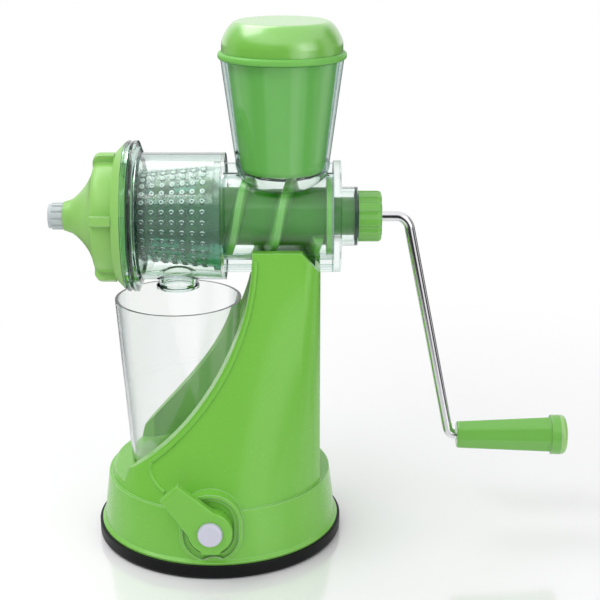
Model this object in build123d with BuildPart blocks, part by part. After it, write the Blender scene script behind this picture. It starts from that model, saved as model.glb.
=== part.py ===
from build123d import *
import math
import os

# Manual wheatgrass juicer.  Millimetres, +Z up.  The origin is the centre of the flat
# underside of the suction foot; +X runs along the screw axis towards the crank and the
# user stands on the -Y side.

# ------------------------------------------------------------------ clearances
run_fit = 0.08          # radial clearance of a shaft or spigot that turns in its hole
seat_gap = 0.1          # gap left between two bodies that seat on each other
move_gap = 0.3          # gap left between curved faces that move past each other
screw_fit = 0.05        # radial clearance of a screw in its hole

# ------------------------------------------------------------------ suction foot
foot_radius = 70.0
foot_height = 8.0
foot_ring_width = 7.0
foot_edge_round = 2.5
membrane_thickness = 2.5

# ------------------------------------------------------------------ stand
drum_low_radius = 67.2          # base drum where it sits on the rubber
drum_top_radius = 63.6
drum_top_height = 37.5
lip_overhang = 1.2              # rolled lip round the bottom of the drum
lip_height = 2.4
stand_wall = 3.0
platform_rise = 4.3             # floor that the glass stands on, above the drum
ledge_width = 1.6               # ledge between the drum's edge and the column's foot
column_right = 58.0
column_top_drop = 14.4          # from the screw axis down to the column's top
column_top_half = 26.0
column_top_left = -10.0
column_corner = 8.0
column_shoulder_drop = 12.4     # sloping shoulder at the crank side
column_shoulder_run = 10.3
column_top_edge = 21.0          # where the scooped edge reaches the top
scoop_start_rise = 1.0          # the scooped edge starts this far above the drum
scoop_low_pull = (-22.0, 68.0)  # the scooped edge's curve is drawn towards this point
scoop_high_pull = 112.0         # and then towards this height under its upper end
corner_arc = 28.0               # part of the column's foot that becomes the head's corner
left_arc = 150.0                # from the crank side to the part that the scoop removes
trough_radius = 38.0
trough_mouth_half = 32.0

# ------------------------------------------------------------------ screw axis and housing
auger_height = 186.4
barrel_bore = 22.0
barrel_wall = 2.2
drum_bore = 33.0
drum_wall = 2.0
drum_left = -41.6               # shoulder that the strainer seats on
drum_end_left = 4.0
drum_end_wall = 2.0
mouth_left = -48.5
mouth_radius = 41.6
mouth_bore = 37.0
mouth_right = -42.0
mouth_slope = 2.4               # from the mouth ring's right edge down to the drum
mouth_groove_depth = 1.2
end_plate_left = 65.0
end_plate_thickness = 4.2
end_plate_radius = 30.6
neck_right = 78.5
neck_radius = 16.2
neck_bore = 13.9
web_half = 1.2
web_top_drop = 0.8              # the top web stops this far under the end plate's rim
rail_half = 20.0                # the rail is this wide inside the stand's head
rail_narrow_half = 4.0          # and this wide outside it
rail_thickness = 2.6
rail_drop = 31.0                # underside of the rail, below the screw axis

# ------------------------------------------------------------------ hopper and pusher
hopper_x = 37.3
hopper_rise = 86.6              # hopper's mouth above the screw axis
hopper_top_radius = 33.2
hopper_waist_radius = 25.8
hopper_waist_rise = 31.6
hopper_wall = 2.0
throat_radius = 14.5
throat_rise = 16.1
pusher_top_radius = 29.6
pusher_low_radius = 22.6
pusher_low_rise = 25.6
pusher_round = 4.5
pusher_wall = 2.2
pusher_flange_radius = 34.6
pusher_flange_thickness = 3.8
lid_radius = 32.6
lid_height = 16.2
lid_flat_radius = 24.0
lid_spigot_depth = 4.0
lid_wall = 2.2
lid_plug_gap = 1.2              # between the lid's ring and the pusher's wall
lid_skirt = 4.0                 # upright part of the lid's edge
lid_fullness = 0.75             # how far the lid's shoulder bulges
pusher_flange_round = 1.5

# ------------------------------------------------------------------ juice spout and glass
spout_x = -21.5
spout_drop = 40.5               # from the screw axis down to the spout's mouth
spout_radius = 10.6
spout_bore = 8.2
spout_lip = 1.4
glass_gap = 6.3                 # from the glass's mouth up to the spout
glass_top_radius = 35.4
glass_bottom_radius = 28.6
glass_wall = 1.6
glass_floor = 4.5
glass_round = 3.0

# ------------------------------------------------------------------ strainer
strainer_left_radius = 22.4     # inside radius at the mouth end
strainer_right_radius = 27.2    # inside radius at the barrel end
strainer_wall = 1.5
strainer_flange = 1.4
strainer_ring = 4.0             # plain ring at the barrel end
hole_radius = 1.5
hole_columns = 7
holes_round = 30
hole_first_x = -38.4
hole_pitch = 5.5
gasket_thickness = 1.4
gasket_width = 6.6

# ------------------------------------------------------------------ end cap and pulp nut
cap_shell = 2.6
cap_shoulder_x = -65.4
cap_shoulder_radius = 29.4
cap_rim_radius = 40.6
cap_rim_thickness = 5.0
cap_body_radius = 32.6
cap_dome = 8.4                  # length of the dome between the shoulder and the body
cap_nose_x = -83.3
cap_nose_radius = 7.9
cap_waist_x = -78.4
cap_waist_radius = 9.6
cap_outlet_radius = 4.2
bell_slope = 0.75               # slope of the cap's bell where it leaves the nose
cap_spigot_bore = 30.6
lug_count = 5
lug_reach = 36.4
lug_width = 5.0
lug_round = 4.2
lug_phase = 9.0                 # the first lug leans this many degrees towards the user
bayonet_count = 3
bayonet_arc = 30.0
bayonet_height = 1.8
bayonet_width = 1.8
bayonet_slack = 2.0             # extra angle each side of an entry slot
bayonet_turn = 45.0             # turn from locked to free
bayonet_setback = 1.2           # from the cap's rim to the bayonet lugs
nut_length = 8.2
nut_radius = 7.4
nut_thread_radius = 5.4
nut_outlet_radius = 3.7
nut_end_wall = 1.8
nut_flutes = 12
nut_flute_radius = 0.7

# ------------------------------------------------------------------ screw (auger)
flight_gap = 0.5                # between the flight and the barrel's bore
flight_pitch = 23.5
flight_root_radius = 6.8        # the flight starts this deep inside the core
flight_tip_width = 3.2
flight_root_width = 14.0
flight_left = -52.7             # the flight passes over the top of the core here
core_radius = 16.0
core_mouth_radius = 11.0
core_tip_radius = 3.4
core_tip_x = -62.0
disc_thickness = 3.0
washer_thickness = 0.7
shaft_radius = 10.5
stub_radius = 7.0
stub_length = 8.0
seal_width = 1.5
insert_radius = 4.6
insert_length = 12.0

# ------------------------------------------------------------------ crank
nut_gap_x = 0.3
drive_nut_length = 12.8
drive_nut_radius = 14.0
drive_nut_flutes = 10
drive_flute_radius = 3.0
drive_flute_depth = 1.2
drive_nut_round = 2.2
rod_radius = 2.8
rod_top_bend = 8.0
rod_low_bend = 5.0
rod_lean = 78.4                 # slope of the crank's arm below the screw axis, degrees
rod_end_gap = 2.2               # from the rod's end to the grip's cap
crank_radius = 130.0
clip_radius = 5.6
clip_thickness = 1.2

# ------------------------------------------------------------------ grip
grip_left = 137.2
grip_length = 63.0
grip_left_radius = 8.2
grip_right_radius = 10.7
grip_sides = 8
grip_collar_length = 9.5
grip_collar_radius = 11.4
grip_pocket_radius = 7.2
grip_cap_length = 3.6
grip_cap_wall = 1.4
grip_cap_plug = 1.6
grip_collar_round = 0.9
grip_end_round = 1.2
grip_cap_round = 2.8
grip_round_share = 0.3          # corner radius of the grip's section over its radius

# ------------------------------------------------------------------ suction lever and cam
lever_x = -1.5
lever_drop = 13.3               # from the platform down to the lever's axis
lever_throw = 3.0               # eccentricity of the cam
lever_swing = 90.0
cam_radius = 4.5
cam_shaft_radius = 4.0
hub_radius = 12.0
hub_thickness = 8.2
boss_radius = 17.0
boss_rise = 3.5                 # the boss reaches this far above and below its end circles' centre
boss_rim = 1.8
boss_step = 2.6                 # width of the step inside the rim
boss_step_depth = 1.4
boss_front = 66.6               # how far the boss stands out in front of the origin
boss_recess = 1.6
arm_length = 32.0
arm_width = 13.0
arm_thickness = 4.6
arm_root_width = 21.6
arm_angle = 133.0
tail_length = 12.6
tail_width = 9.4
tail_root_width = 23.0
lever_edge_round = 1.0
button_radius = 6.7
button_thickness = 3.0
button_depth = 3.4
lever_screw_radius = 1.5
lever_screw_head = 3.2
lever_screw_head_height = 1.6
lever_screw_length = 12.0

# ------------------------------------------------------------------ post, base plate, screws
post_foot_radius = 12.0
post_foot_thickness = 3.0
post_radius = 7.0
yoke_thickness = 8.0
yoke_border = 3.0
rubber_boss_wall = 4.0
rubber_boss_lip = 2.0
plate_thickness = 2.5
plate_height = 5.0
plate_foot_width = 3.0
lug_thickness = 5.0
lug_border = 4.0
lug_offset = 22.5
plate_screw_inset = 8.7         # from the plate's edge to its screws
plate_screw_count = 4
screw_radius = 1.5
screw_head_radius = 3.0
screw_head_height = 2.0
screw_length = 12.0
screw_boss_radius = 4.5
screw_boss_top = 18.0
saddle_screw_radius = 1.9
saddle_screw_head_radius = 3.6
saddle_screw_head_height = 2.4
saddle_screw_length = 9.8
saddle_screw_spacing = 18.0
saddle_floor = 3.4
saddle_boss_radius = 4.5

# ------------------------------------------------------------------ derived places
platform_height = drum_top_height + platform_rise
scoop_start_height = drum_top_height + scoop_start_rise
lever_height = platform_height - lever_drop
column_top = auger_height - column_top_drop
hopper_top = auger_height + hopper_rise
hopper_waist_height = auger_height + hopper_waist_rise
throat_height = auger_height + throat_rise
pusher_low_height = auger_height + pusher_low_rise
spout_bottom = auger_height - spout_drop
glass_top = spout_bottom - glass_gap
drum_outer = drum_bore + drum_wall
barrel_outer = barrel_bore + barrel_wall
drum_end_right = drum_end_left + drum_end_wall
end_plate_right = end_plate_left + end_plate_thickness
rail_bottom = auger_height - rail_drop
rail_top = rail_bottom + rail_thickness
web_top = auger_height + end_plate_radius - web_top_drop
spout_top = auger_height - drum_bore + 2 * drum_wall
column_foot_radius = drum_top_radius - ledge_width
flight_radius = barrel_bore - flight_gap
disc_left = end_plate_left - washer_thickness - seat_gap - disc_thickness
grip_height = auger_height - crank_radius
grip_right = grip_left + grip_length
rod_end_x = grip_right - grip_cap_length - rod_end_gap
rod_low_x = grip_left - move_gap - rod_low_bend * math.tan(math.radians(rod_lean / 2))
rod_top_x = rod_low_x - crank_radius / math.tan(math.radians(rod_lean))
drive_nut_left = neck_right + nut_gap_x
drive_nut_right = drive_nut_left + drive_nut_length
pusher_seat = hopper_top + seat_gap
cam_angle = math.radians(lever_swing / 2)
cam_drop = lever_throw * math.sin(cam_angle)
post_lift = 2 * cam_drop
yoke_centre = lever_height - cam_drop
yoke_slot_half = abs(lever_x) + lever_throw + cam_radius + move_gap
yoke_slot_height = 2 * (cam_radius + move_gap)
plate_radius = foot_radius - foot_ring_width - move_gap
plate_screw_circle = plate_radius - plate_screw_inset
post_foot_bottom = membrane_thickness + move_gap
post_foot_top = post_foot_bottom + post_foot_thickness
pocket_top = post_foot_top + post_lift + move_gap
rubber_boss_radius = post_foot_radius + move_gap + rubber_boss_wall
rubber_boss_top = pocket_top + rubber_boss_lip
boss_floor = boss_front - boss_recess - boss_step_depth
pocket_left = column_top_edge + stand_wall
pocket_right = column_right - stand_wall
hub_back = boss_floor + move_gap
bayonet_left = mouth_left + bayonet_setback
gasket_left = drum_left - strainer_flange - gasket_thickness
nut_seat_x = cap_nose_x - seat_gap
hub_front = hub_back + hub_thickness
far = 400.0                     # longer than any piece, for cutting through

screw_axis = Axis((0, 0, auger_height), (1, 0, 0))
side_plane = Plane(origin=(0, 0, auger_height), x_dir=(1, 0, 0), z_dir=(0, -1, 0))
stand_axis = Axis((0, 0, 0), (0, 0, 1))
hopper_axis = Axis((hopper_x, 0, 0), (0, 0, 1))
hopper_plane = Plane(origin=(hopper_x, 0, 0), x_dir=(1, 0, 0), z_dir=(0, -1, 0))
spout_axis = Axis((spout_x, 0, 0), (0, 0, 1))
spout_plane = Plane(origin=(spout_x, 0, 0), x_dir=(1, 0, 0), z_dir=(0, -1, 0))
grip_axis = Axis((0, 0, grip_height), (1, 0, 0))
grip_plane = Plane(origin=(0, 0, grip_height), x_dir=(1, 0, 0), z_dir=(0, -1, 0))


def across(x):
    """Plane square to the screw axis at x, its local X pointing up."""
    return Plane(origin=(x, 0, auger_height), x_dir=(0, 0, 1), z_dir=(1, 0, 0))


def side_plane_turned(turn):
    """The side plane turned about the screw axis by this many degrees."""
    return Plane(
        origin=(0, 0, auger_height),
        x_dir=(1, 0, 0),
        z_dir=Vector(0, -1, 0).rotate(Axis.X, turn),
    )


def facing(distance):
    """Plane square to the cam shaft, this far in front of the origin, facing the user."""
    return Plane(origin=(lever_x, -distance, lever_height), x_dir=(1, 0, 0), z_dir=(0, -1, 0))


def outline(*points):
    """Closed straight-sided profile at its own place in the sketch."""
    return Polygon(*points, align=None)


# ================================================================== suction cup (rubber)
with BuildPart() as suction_cup:
    with BuildSketch(Plane.XZ):
        outline(
            (0, 0),
            (foot_radius, 0),
            (foot_radius, foot_height),
            (foot_radius - foot_ring_width, foot_height),
            (foot_radius - foot_ring_width, membrane_thickness),
            (rubber_boss_radius, membrane_thickness),
            (rubber_boss_radius, rubber_boss_top),
            (post_radius + move_gap, rubber_boss_top),
            (post_radius + move_gap, pocket_top),
            (post_foot_radius + move_gap, pocket_top),
            (post_foot_radius + move_gap, membrane_thickness),
            (0, membrane_thickness),
        )
    revolve(axis=stand_axis)
    outer_edges = suction_cup.edges().filter_by(GeomType.CIRCLE).group_by(SortBy.RADIUS)[-1]
    fillet(outer_edges.sort_by(Axis.Z)[0], radius=foot_edge_round)

# ================================================================== stand
def column_section(inset):
    """D-shaped section of the column's foot, drawn inside by the inset."""
    radius = column_foot_radius - inset
    right = column_right - inset
    first = math.degrees(math.acos(right / radius))
    turns = (-first, -first - corner_arc, -left_arc, left_arc, first + corner_arc, first)
    points = [Vector(radius, 0).rotate(Axis.Z, turn) for turn in turns]
    with BuildSketch() as section:
        with BuildLine():
            for start, end in zip(points[:2], points[1:3]):
                RadiusArc(start, end, radius)
            ThreePointArc(points[2], (-radius, 0), points[3])
            for start, end in zip(points[3:5], points[4:]):
                RadiusArc(start, end, radius)
            Line(points[5], points[0])
        make_face()
    return section.sketch


def column_head(inset):
    """Round-cornered section of the column's head, drawn inside by the inset."""
    right = column_right - inset
    left = column_top_left + inset
    half = column_top_half - inset
    corner = column_corner - inset
    with BuildSketch() as section:
        with BuildLine():
            RadiusArc((right, corner - half), (right - corner, -half), corner)
            Line((right - corner, -half), (left, -half))
            Line((left, -half), (left, half))
            Line((left, half), (right - corner, half))
            RadiusArc((right - corner, half), (right, half - corner), corner)
            Line((right, half - corner), (right, corner - half))
        make_face()
    return section.sketch


def scooped_away(shift):
    """Space above and left of the scooped edge, the edge moved right and down by shift."""
    with BuildSketch() as section:
        with BuildLine():
            edge = Bezier(
                (-drum_top_radius + shift, scoop_start_height - shift),
                (scoop_low_pull[0] + shift, scoop_low_pull[1] - shift),
                (column_top_edge + shift, scoop_high_pull - shift),
                (column_top_edge + shift, column_top - shift),
            )
            Polyline(edge @ 1, (column_top_edge + shift, far), (-far, far), (-far, (edge @ 0).Y), edge @ 0)
        make_face()
    return section.sketch


def trough(border):
    """Plan of the trough that the glass stands in, open to the left, larger by the border."""
    with Locations((spout_x, 0)):
        Circle(trough_radius + border)
    with Locations((spout_x - far / 2, 0)):
        Rectangle(far, 2 * (trough_mouth_half + border))


def boss_outline(inset):
    """Upright slot shape of the boss round the lever, drawn inside by the inset."""
    with Locations((0, boss_rise), (0, -boss_rise)):
        Circle(boss_radius - inset)
    Rectangle(2 * (boss_radius - inset), 2 * boss_rise)


def drum_radius(z):
    """Outside radius of the tapering base drum at height z."""
    share = (z - foot_height) / (drum_top_height - foot_height)
    return drum_low_radius + share * (drum_top_radius - drum_low_radius)


with BuildPart() as stand_hollow:
    with BuildSketch(Plane.XY.offset(drum_top_height)):
        add(column_section(stand_wall))
    with BuildSketch(Plane.XY.offset(column_top)):
        add(column_head(stand_wall))
    loft(ruled=True)
    with BuildSketch(Plane.XY.offset(drum_top_height - 2 * stand_wall)):
        add(column_section(stand_wall))
    extrude(amount=2 * stand_wall)
    with BuildSketch(Plane.XZ):
        add(scooped_away(stand_wall))
    extrude(amount=far, both=True, mode=Mode.SUBTRACT)
    with BuildSketch(Plane.XY.offset(platform_height - stand_wall)):
        trough(stand_wall)
    extrude(amount=far, mode=Mode.SUBTRACT)
    with BuildSketch(Plane.XY.offset(rail_bottom - saddle_floor)):
        Rectangle(far, far)
    extrude(amount=far, mode=Mode.SUBTRACT)
    with BuildSketch(Plane.XZ):
        outline(
            (0, foot_height),
            (drum_low_radius - stand_wall, foot_height),
            (drum_radius(drum_top_height - stand_wall) - stand_wall, drum_top_height - stand_wall),
            (0, drum_top_height - stand_wall),
        )
    revolve(axis=stand_axis)

with BuildPart() as stand_body:
    with BuildSketch(Plane.XZ):
        outline(
            (0, foot_height),
            (drum_low_radius + lip_overhang, foot_height),
            (drum_low_radius + lip_overhang, foot_height + lip_height / 2),
            (drum_radius(foot_height + lip_height), foot_height + lip_height),
            (drum_top_radius, drum_top_height),
            (0, drum_top_height),
        )
    revolve(axis=stand_axis)
    with BuildSketch(Plane.XY.offset(drum_top_height)):
        add(column_section(0))
    with BuildSketch(Plane.XY.offset(column_top)):
        add(column_head(0))
    loft(ruled=True)
    # scooped front edge, trough for the glass, sloping shoulder at the crank side
    with BuildSketch(Plane.XZ):
        add(scooped_away(0))
    extrude(amount=far, both=True, mode=Mode.SUBTRACT)
    with BuildSketch(Plane.XY.offset(platform_height)):
        trough(0)
    extrude(amount=far, mode=Mode.SUBTRACT)
    with BuildSketch(Plane.XZ):
        outline(
            (column_right - column_shoulder_run, column_top + seat_gap),
            (column_right + seat_gap, column_top + seat_gap),
            (column_right + seat_gap, column_top - column_shoulder_drop),
        )
    extrude(amount=far, both=True, mode=Mode.SUBTRACT)
    add(stand_hollow.part, mode=Mode.SUBTRACT)
    # saddle: the barrel's cradle, a slot for the rail and a pocket for its wide part
    with BuildSketch(Plane.YZ.offset(column_top_left)):
        with Locations((0, rail_bottom + far / 2)):
            Rectangle(2 * (rail_narrow_half + move_gap), far)
        with Locations((0, auger_height)):
            Circle(barrel_outer + move_gap)
    extrude(amount=far, mode=Mode.SUBTRACT)
    with BuildSketch(Plane.XY.offset(rail_bottom)):
        with Locations(((pocket_left + pocket_right) / 2, 0)):
            Rectangle(pocket_right - pocket_left, 2 * (rail_half + move_gap))
    extrude(amount=far, mode=Mode.SUBTRACT)
    # bosses that take the base screws, tied to the drum's wall by ribs
    with BuildSketch(Plane.XY.offset(plate_height + plate_thickness)):
        with PolarLocations(plate_screw_circle, plate_screw_count, start_angle=45):
            Circle(screw_boss_radius)
        rib_length = drum_low_radius - stand_wall / 2 - plate_screw_circle
        with PolarLocations(plate_screw_circle + rib_length / 2, plate_screw_count, start_angle=45):
            Rectangle(rib_length, screw_boss_radius)
        Circle(drum_low_radius - stand_wall - lip_height, mode=Mode.INTERSECT)
    extrude(amount=foot_height - plate_height - plate_thickness)
    with BuildSketch(Plane.XY.offset(foot_height)):
        with PolarLocations(plate_screw_circle, plate_screw_count, start_angle=45):
            Circle(screw_boss_radius)
        with PolarLocations(plate_screw_circle + rib_length / 2, plate_screw_count, start_angle=45):
            Rectangle(rib_length, screw_boss_radius)
    extrude(amount=screw_boss_top - foot_height)
    with BuildSketch(Plane.XY.offset(plate_height + plate_thickness)):
        with PolarLocations(plate_screw_circle, plate_screw_count, start_angle=45):
            Circle(screw_radius + screw_fit)
    extrude(amount=screw_length, mode=Mode.SUBTRACT)
    # upright boss in front with a stepped recess that the lever's hub turns in
    with BuildSketch(facing(boss_front)):
        boss_outline(0)
        with Locations((0, foot_height - lever_height - far / 2)):
            Rectangle(far, far, mode=Mode.SUBTRACT)
    extrude(amount=-(boss_front - drum_top_radius + 3 * stand_wall))
    with BuildSketch(facing(boss_front)):
        boss_outline(boss_rim)
    extrude(amount=-boss_recess, mode=Mode.SUBTRACT)
    with BuildSketch(facing(boss_front)):
        boss_outline(boss_rim + boss_step)
    extrude(amount=boss_floor - boss_front, mode=Mode.SUBTRACT)
    with BuildSketch(facing(boss_front)):
        Circle(cam_shaft_radius + run_fit)
    extrude(amount=-6 * stand_wall, mode=Mode.SUBTRACT)
    # holes for the two screws that hold the housing down
    with BuildSketch(Plane.XY.offset(rail_bottom - saddle_floor)):
        with Locations((hopper_x, 0)):
            with GridLocations(saddle_screw_spacing, 0, 2, 1):
                Circle(saddle_screw_radius + screw_fit)
    extrude(amount=saddle_floor, mode=Mode.SUBTRACT)

# ================================================================== base plate and its screws
with BuildPart() as base_plate:
    with BuildSketch(Plane.XY.offset(plate_height)):
        Circle(plate_radius)
        Circle(rubber_boss_radius + move_gap, mode=Mode.SUBTRACT)
        with PolarLocations(plate_screw_circle, plate_screw_count, start_angle=45):
            Circle(screw_radius + screw_fit, mode=Mode.SUBTRACT)
    extrude(amount=plate_thickness)
    with BuildSketch(Plane.XY.offset(membrane_thickness)):
        Circle(plate_radius)
        Circle(plate_radius - plate_foot_width, mode=Mode.SUBTRACT)
    extrude(amount=plate_height - membrane_thickness)
    # two lugs that carry the cam shaft
    lug_half = cam_shaft_radius + lug_border
    for side in (-1, 1):
        with BuildSketch(facing(side * lug_offset - lug_thickness / 2)):
            Circle(lug_half)
            lug_foot = lever_height - plate_height
            with Locations((0, -lug_foot / 2)):
                Rectangle(2 * lug_half, lug_foot)
            Circle(cam_shaft_radius + run_fit, mode=Mode.SUBTRACT)
        extrude(amount=lug_thickness)

with BuildPart() as base_screws:
    with BuildSketch(Plane.XY.offset(plate_height - screw_head_height)):
        with PolarLocations(plate_screw_circle, plate_screw_count, start_angle=45):
            Circle(screw_head_radius)
    extrude(amount=screw_head_height)
    with BuildSketch(Plane.XY.offset(plate_height)):
        with PolarLocations(plate_screw_circle, plate_screw_count, start_angle=45):
            Circle(screw_radius)
    extrude(amount=screw_length)

# ================================================================== post that lifts the cup
with BuildPart() as cup_post:
    with BuildSketch(Plane.XY.offset(post_foot_bottom)):
        Circle(post_foot_radius)
    extrude(amount=post_foot_thickness)
    yoke_half_height = yoke_slot_height / 2 + yoke_border
    with BuildSketch(Plane.XY.offset(post_foot_bottom)):
        Circle(post_radius)
    extrude(amount=yoke_centre - yoke_half_height + yoke_border / 2 - post_foot_bottom)
    with BuildSketch(Plane.XZ.offset(-yoke_thickness / 2)):
        with Locations((0, yoke_centre)):
            RectangleRounded(2 * (yoke_slot_half + yoke_border), 2 * yoke_half_height, yoke_border)
            Rectangle(2 * yoke_slot_half, yoke_slot_height, mode=Mode.SUBTRACT)
    extrude(amount=yoke_thickness)

# ================================================================== lever, cam shaft, button
with BuildPart() as suction_lever:
    with BuildSketch(facing(hub_back)):
        Circle(hub_radius)
    extrude(amount=hub_thickness)
    with BuildSketch(facing(hub_front - arm_thickness)):
        arm_tip = Vector(arm_length, 0).rotate(Axis.Z, arm_angle)
        arm_side = Vector(arm_width / 2, 0).rotate(Axis.Z, arm_angle + 90)
        hub_side = Vector(arm_root_width / 2, 0).rotate(Axis.Z, arm_angle + 90)
        outline(tuple(hub_side), tuple(arm_tip + arm_side), tuple(arm_tip - arm_side), tuple(-hub_side))
        outline(
            (-tail_root_width / 2, 0),
            (-tail_width / 2, -tail_length),
            (tail_width / 2, -tail_length),
            (tail_root_width / 2, 0),
        )
    extrude(amount=arm_thickness)
    front_edges = suction_lever.faces().sort_by(Axis.Y)[0].edges()
    fillet(front_edges, radius=lever_edge_round)
    with BuildSketch(facing(hub_front)):
        Circle(button_radius + screw_fit)
    extrude(amount=-button_depth, mode=Mode.SUBTRACT)
    with BuildSketch(facing(hub_back)):
        Circle(cam_shaft_radius + screw_fit)
    extrude(amount=hub_thickness, mode=Mode.SUBTRACT)

shaft_front = hub_front - button_depth
with BuildPart() as cam_shaft:
    with BuildSketch(facing(shaft_front)):
        Circle(cam_shaft_radius)
    extrude(amount=-(shaft_front - (yoke_thickness / 2 + move_gap)))
    with BuildSketch(facing(yoke_thickness / 2 + move_gap)):
        with Locations((-lever_throw * math.cos(cam_angle), -cam_drop)):
            Circle(cam_radius)
    extrude(amount=-(yoke_thickness + 2 * move_gap))
    with BuildSketch(facing(-(yoke_thickness / 2 + move_gap))):
        Circle(cam_shaft_radius)
    extrude(amount=-(lug_offset + lug_thickness / 2 - yoke_thickness / 2))
    with BuildSketch(facing(shaft_front)):
        Circle(lever_screw_radius + screw_fit)
    extrude(amount=-lever_screw_length - move_gap, mode=Mode.SUBTRACT)

with BuildPart() as lever_screw:
    with BuildSketch(facing(shaft_front)):
        Circle(lever_screw_head)
    extrude(amount=lever_screw_head_height)
    with BuildSketch(facing(shaft_front)):
        Circle(lever_screw_radius)
    extrude(amount=-lever_screw_length)

with BuildPart() as lever_button:
    with BuildSketch(facing(shaft_front + lever_screw_head_height)):
        Circle(button_radius)
    extrude(amount=button_thickness + button_depth - lever_screw_head_height)
    fillet(lever_button.faces().sort_by(Axis.Y)[0].edges(), radius=button_thickness / 2)

# ================================================================== clear housing
with BuildPart() as juicer_housing:
    groove_x = (mouth_left + mouth_right) / 2
    with BuildSketch(side_plane):
        outline(
            (mouth_left, 0),
            (mouth_left, mouth_radius - mouth_groove_depth),
            (mouth_left + mouth_groove_depth, mouth_radius),
            (groove_x - mouth_groove_depth, mouth_radius),
            (groove_x, mouth_radius - mouth_groove_depth),
            (groove_x + mouth_groove_depth, mouth_radius),
            (mouth_right, mouth_radius),
            (mouth_right + mouth_slope, drum_outer),
            (drum_end_right, drum_outer),
            (drum_end_right, barrel_outer),
            (end_plate_left, barrel_outer),
            (end_plate_left, end_plate_radius),
            (end_plate_right, end_plate_radius),
            (end_plate_right, neck_radius),
            (neck_right, neck_radius),
            (neck_right, 0),
        )
    revolve(axis=screw_axis)
    # hopper: cone above a rounded bowl that narrows to the throat
    with BuildSketch(hopper_plane):
        with BuildLine():
            Line((throat_radius + hopper_wall, throat_height), (throat_radius + hopper_wall, auger_height))
            Line((throat_radius + hopper_wall, auger_height), (0, auger_height))
            Line((0, auger_height), (0, hopper_top))
            Line((0, hopper_top), (hopper_top_radius, hopper_top))
            Line((hopper_top_radius, hopper_top), (hopper_waist_radius, hopper_waist_height))
            TangentArc(
                (hopper_waist_radius, hopper_waist_height),
                (throat_radius + hopper_wall, throat_height),
                tangent=(0, -1),
            )
        make_face()
    revolve(axis=hopper_axis)
    # stiffening web over the barrel, rail and web under it
    with BuildSketch(Plane.XZ.offset(-web_half)):
        outline(
            (drum_end_left, rail_bottom),
            (end_plate_left, rail_bottom),
            (end_plate_left, web_top),
            (drum_end_left, web_top),
        )
    extrude(amount=2 * web_half)
    with BuildSketch(Plane.XY.offset(rail_bottom)):
        with Locations(((drum_end_left + end_plate_left) / 2, 0)):
            Rectangle(end_plate_left - drum_end_left, 2 * rail_narrow_half)
        with Locations(((pocket_left + pocket_right) / 2, 0)):
            Rectangle(pocket_right - pocket_left - 2 * move_gap, 2 * rail_half)
    extrude(amount=rail_thickness)
    with BuildSketch(Plane.XY.offset(rail_bottom)):
        with Locations((hopper_x, 0)):
            with GridLocations(saddle_screw_spacing, 0, 2, 1):
                Circle(saddle_boss_radius)
    extrude(amount=auger_height - barrel_bore - rail_bottom)
    # juice spout under the drum
    with BuildSketch(spout_plane):
        outline(
            (0, spout_bottom),
            (spout_radius + spout_lip, spout_bottom),
            (spout_radius + spout_lip, spout_bottom + spout_lip),
            (spout_radius, spout_bottom + 2 * spout_lip),
            (spout_radius, spout_top),
            (0, spout_top),
        )
    revolve(axis=spout_axis)
    # inside of the mouth, drum, barrel and neck
    with BuildSketch(side_plane):
        outline(
            (mouth_left, 0),
            (mouth_left, mouth_bore),
            (drum_left, mouth_bore),
            (drum_left, drum_bore),
            (drum_end_left, drum_bore),
            (drum_end_left, barrel_bore),
            (end_plate_left, barrel_bore),
            (end_plate_left, shaft_radius + run_fit),
            (end_plate_right, shaft_radius + run_fit),
            (end_plate_right, neck_bore),
            (neck_right, neck_bore),
            (neck_right, 0),
        )
    revolve(axis=screw_axis, mode=Mode.SUBTRACT)
    # inside of the hopper
    with BuildSketch(hopper_plane):
        with BuildLine():
            Line((throat_radius, throat_height), (throat_radius, auger_height))
            Line((throat_radius, auger_height), (0, auger_height))
            Line((0, auger_height), (0, hopper_top))
            Line((0, hopper_top), (hopper_top_radius - hopper_wall, hopper_top))
            Line(
                (hopper_top_radius - hopper_wall, hopper_top),
                (hopper_waist_radius - hopper_wall, hopper_waist_height),
            )
            TangentArc(
                (hopper_waist_radius - hopper_wall, hopper_waist_height),
                (throat_radius, throat_height),
                tangent=(0, -1),
            )
        make_face()
    revolve(axis=hopper_axis, mode=Mode.SUBTRACT)
    with BuildSketch(Plane.XY.offset(spout_bottom)):
        with Locations((spout_x, 0)):
            Circle(spout_bore)
    extrude(amount=spout_top - spout_bottom, mode=Mode.SUBTRACT)
    # bayonet: a groove round the mouth's bore and the slots that lead into it
    with BuildSketch(side_plane):
        outline(
            (bayonet_left - move_gap, mouth_bore - seat_gap),
            (bayonet_left - move_gap, mouth_bore + bayonet_height + move_gap),
            (bayonet_left + bayonet_width + move_gap, mouth_bore + bayonet_height + move_gap),
            (bayonet_left + bayonet_width + move_gap, mouth_bore - seat_gap),
        )
    revolve(axis=screw_axis, mode=Mode.SUBTRACT)
    for number in range(bayonet_count):
        slot_turn = bayonet_turn + number * 360 / bayonet_count - bayonet_slack
        with BuildSketch(side_plane_turned(slot_turn)):
            outline(
                (mouth_left, mouth_bore - seat_gap),
                (mouth_left, mouth_bore + bayonet_height + move_gap),
                (bayonet_left - move_gap, mouth_bore + bayonet_height + move_gap),
                (bayonet_left - move_gap, mouth_bore - seat_gap),
            )
        revolve(
            axis=screw_axis,
            revolution_arc=bayonet_arc + 2 * bayonet_slack,
            mode=Mode.SUBTRACT,
        )
    # pilot holes for the two screws from the saddle
    with BuildSketch(Plane.XY.offset(rail_bottom)):
        with Locations((hopper_x, 0)):
            with GridLocations(saddle_screw_spacing, 0, 2, 1):
                Circle(saddle_screw_radius + screw_fit)
    extrude(amount=saddle_screw_length - saddle_floor, mode=Mode.SUBTRACT)

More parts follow.
